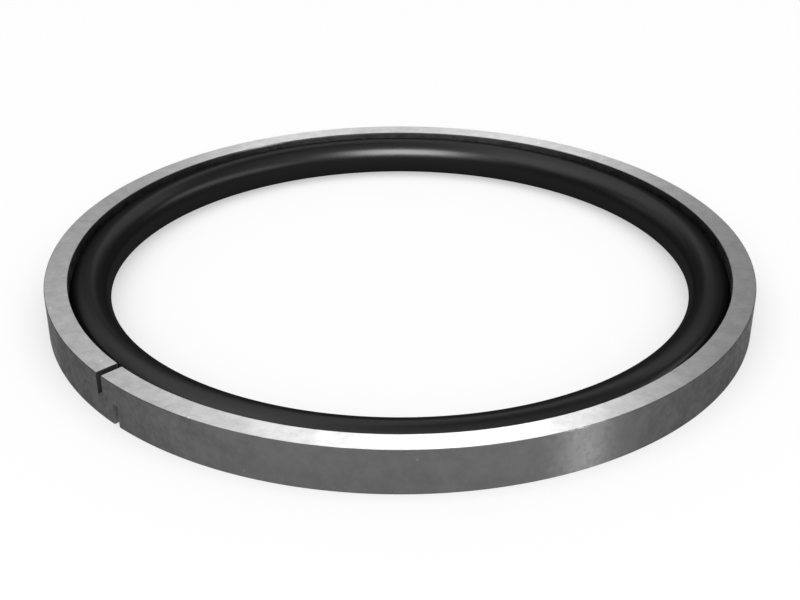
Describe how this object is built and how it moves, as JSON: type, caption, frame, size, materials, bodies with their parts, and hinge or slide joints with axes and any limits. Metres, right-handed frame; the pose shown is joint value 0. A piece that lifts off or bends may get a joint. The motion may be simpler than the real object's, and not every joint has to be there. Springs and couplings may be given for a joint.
{
  "type": "piston seal",
  "caption": "Split piston seal: a grey metal slide ring of rectangular section with a step-cut lap joint, pressed outward against the cylinder by a black rubber O-ring seated in its bore.",
  "frame": {"origin": "centre of the slide ring's lower flank, on the seal's axis", "axes": "+Z along the seal's axis, from the lower flank to the upper flank; -Y from the axis towards the middle of the step-cut joint; +X completes a right-handed frame"},
  "size_m": [0.12, 0.12, 0.0073],
  "materials": {
    "slide_ring": "bare grey iron, ground flat on the flanks and turned on the outer face, satin",
    "o_ring": "black nitrile rubber, smooth moulded satin"
  },
  "bodies": {
    "root": {"slide_ring": "slide_ring", "o_ring": "o_ring"}
  },
  "joints": []
}
